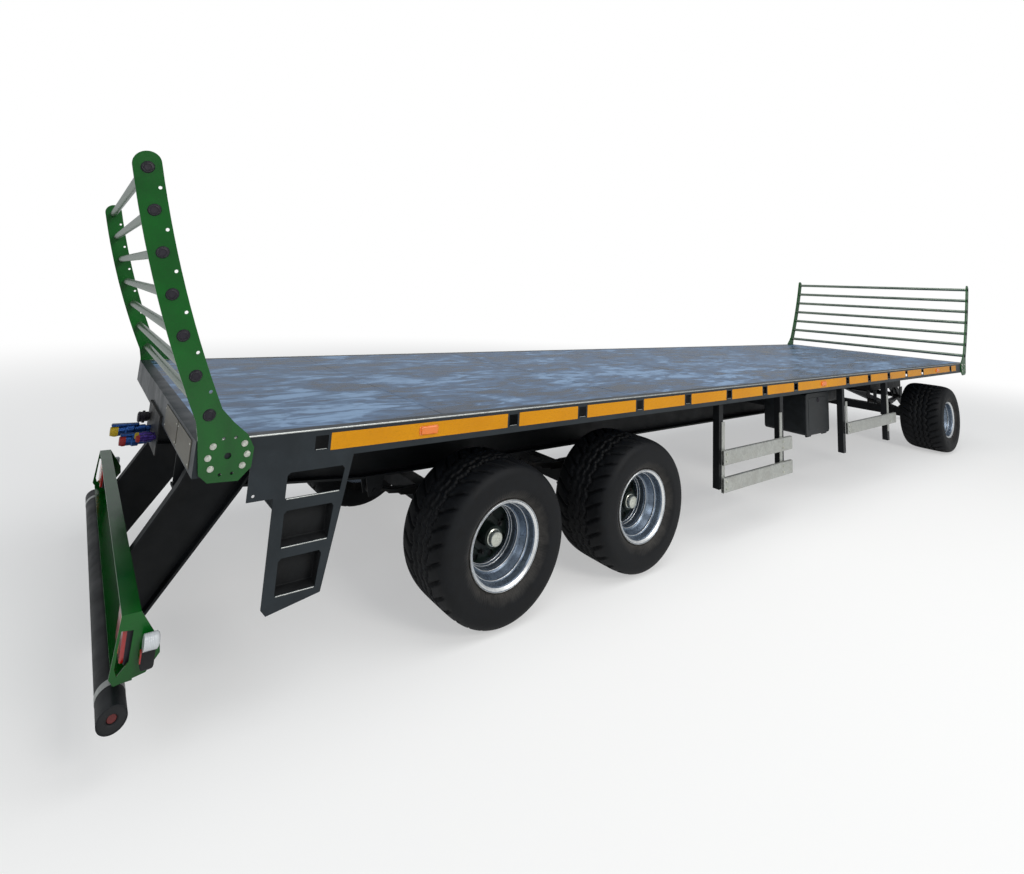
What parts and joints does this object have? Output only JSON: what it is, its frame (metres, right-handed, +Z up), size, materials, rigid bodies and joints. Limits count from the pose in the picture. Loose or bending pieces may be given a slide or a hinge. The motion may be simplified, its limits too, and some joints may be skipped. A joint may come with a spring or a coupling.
{
  "type": "bale trailer",
  "caption": "Platform trailer for bales with curved end racks, tandem rear axles and a turntable-steered front axle on a lowered drawbar.",
  "frame": {"origin": "on the ground under the middle of the whole trailer, from the rear rack's top to the towing eye", "axes": "+X forward to the drawbar, +Y to the trailer's left, +Z up"},
  "size_m": [12.0488, 2.5398, 2.2981],
  "materials": {
    "deck_steel": "glossy grey-blue paint on rolled sheet",
    "edge_paint": "satin anthracite paint",
    "frame_paint": "satin black paint",
    "rack_green": "glossy green paint",
    "galvanised": "hot-dip galvanised, dull",
    "rung_steel": "galvanised tube",
    "tyre_rubber": "moulded tread",
    "rim_silver": "silver enamel",
    "forged_steel": "forged, dark",
    "spring_steel": "black painted spring steel",
    "lamp_red": "moulded lens",
    "lamp_amber": "moulded lens",
    "stalk_rubber": "moulded",
    "box_plastic": "grained polyethylene",
    "coupling_metal": "anodised and painted",
    "panel_zinc": "zinc plated",
    "blank_sheet": "plain sheet, no lettering"
  },
  "bodies": {
    "chassis": {"deck_plate": "deck_steel", "side_beam_left": "edge_paint", "side_beam_right": "edge_paint", "side_beam_web_left": "edge_paint", "side_beam_web_right": "edge_paint", "side_beam_lip_left": "edge_paint", "side_beam_lip_right": "edge_paint", "rear_beam": "edge_paint", "front_beam": "edge_paint", "crossmembers": "frame_paint", "main_beam_left": "frame_paint", "main_beam_right": "frame_paint", "neck_beam_left": "frame_paint", "neck_beam_right": "frame_paint", "rear_rack_post_left": "rack_green", "rear_rack_post_right": "rack_green", "rear_rack_rungs": "rung_steel", "front_rack_post_left": "rack_green", "front_rack_post_right": "rack_green", "front_rack_rungs": "rung_steel", "ladder": "edge_paint", "side_guard_posts": "frame_paint", "side_guard_uprights": "galvanised", "side_guard_planks": "galvanised", "toolbox": "box_plastic", "underrun_arms": "frame_paint", "underrun_tube": "frame_paint", "lamp_carrier": "rack_green", "tail_lamps": "lamp_red", "outline_lamps": "stalk_rubber", "side_marker_lamps": "lamp_amber", "coupling_panel": "panel_zinc", "coupling_heads": "coupling_metal", "blank_plates": "blank_sheet", "air_tank": "frame_paint", "bogie_hangers": "frame_paint", "bogie_rockers": "frame_paint", "rear_leaf_springs": "spring_steel", "axle_rear_1": "frame_paint", "axle_rear_2": "frame_paint", "turntable_upper": "frame_paint"},
    "box_lid": {"toolbox_lid": "box_plastic"},
    "dolly": {"turntable_lower": "frame_paint", "dolly_frame": "frame_paint", "front_leaf_springs": "spring_steel", "axle_front": "frame_paint"},
    "tow_bar": {"drawbar": "frame_paint", "drawbar_eye": "forged_steel"},
    "wheel_rear_1_left": {"tyre_rear_1_left": "tyre_rubber", "wheel_rear_1_left": "rim_silver"},
    "wheel_rear_1_right": {"tyre_rear_1_right": "tyre_rubber", "wheel_rear_1_right": "rim_silver"},
    "wheel_rear_2_left": {"tyre_rear_2_left": "tyre_rubber", "wheel_rear_2_left": "rim_silver"},
    "wheel_rear_2_right": {"tyre_rear_2_right": "tyre_rubber", "wheel_rear_2_right": "rim_silver"},
    "wheel_front_left": {"tyre_front_left": "tyre_rubber", "wheel_front_left": "rim_silver"},
    "wheel_front_right": {"tyre_front_right": "tyre_rubber", "wheel_front_right": "rim_silver"}
  },
  "joints": [
    {"name": "steering", "type": "hinge", "parent": "chassis", "child": "dolly", "pos_m": [3.51304, 0, 0.85], "axis": [0, 0, 1], "range_deg": [-90, 90]},
    {"name": "drawbar_lift", "type": "hinge", "parent": "dolly", "child": "tow_bar", "pos_m": [4.15304, 0, 0.6], "axis": [0, -1, 0], "range_deg": [0, 35]},
    {"name": "box_lid_fold", "type": "hinge", "parent": "chassis", "child": "box_lid", "pos_m": [-0.10196, -1.10025, 0.5925], "axis": [1, 0, 0], "range_deg": [0, 95]},
    {"name": "spin_rear_1_left", "type": "hinge", "parent": "chassis", "child": "wheel_rear_1_left", "pos_m": [-4.04196, 1, 0.433], "axis": [0, 1, 0], "continuous": true},
    {"name": "spin_rear_1_right", "type": "hinge", "parent": "chassis", "child": "wheel_rear_1_right", "pos_m": [-4.04196, -1, 0.433], "axis": [0, 1, 0], "continuous": true},
    {"name": "spin_rear_2_left", "type": "hinge", "parent": "chassis", "child": "wheel_rear_2_left", "pos_m": [-2.87196, 1, 0.433], "axis": [0, 1, 0], "continuous": true},
    {"name": "spin_rear_2_right", "type": "hinge", "parent": "chassis", "child": "wheel_rear_2_right", "pos_m": [-2.87196, -1, 0.433], "axis": [0, 1, 0], "continuous": true},
    {"name": "spin_front_left", "type": "hinge", "parent": "dolly", "child": "wheel_front_left", "pos_m": [3.51304, 1, 0.433], "axis": [0, 1, 0], "continuous": true},
    {"name": "spin_front_right", "type": "hinge", "parent": "dolly", "child": "wheel_front_right", "pos_m": [3.51304, -1, 0.433], "axis": [0, 1, 0], "continuous": true}
  ]
}
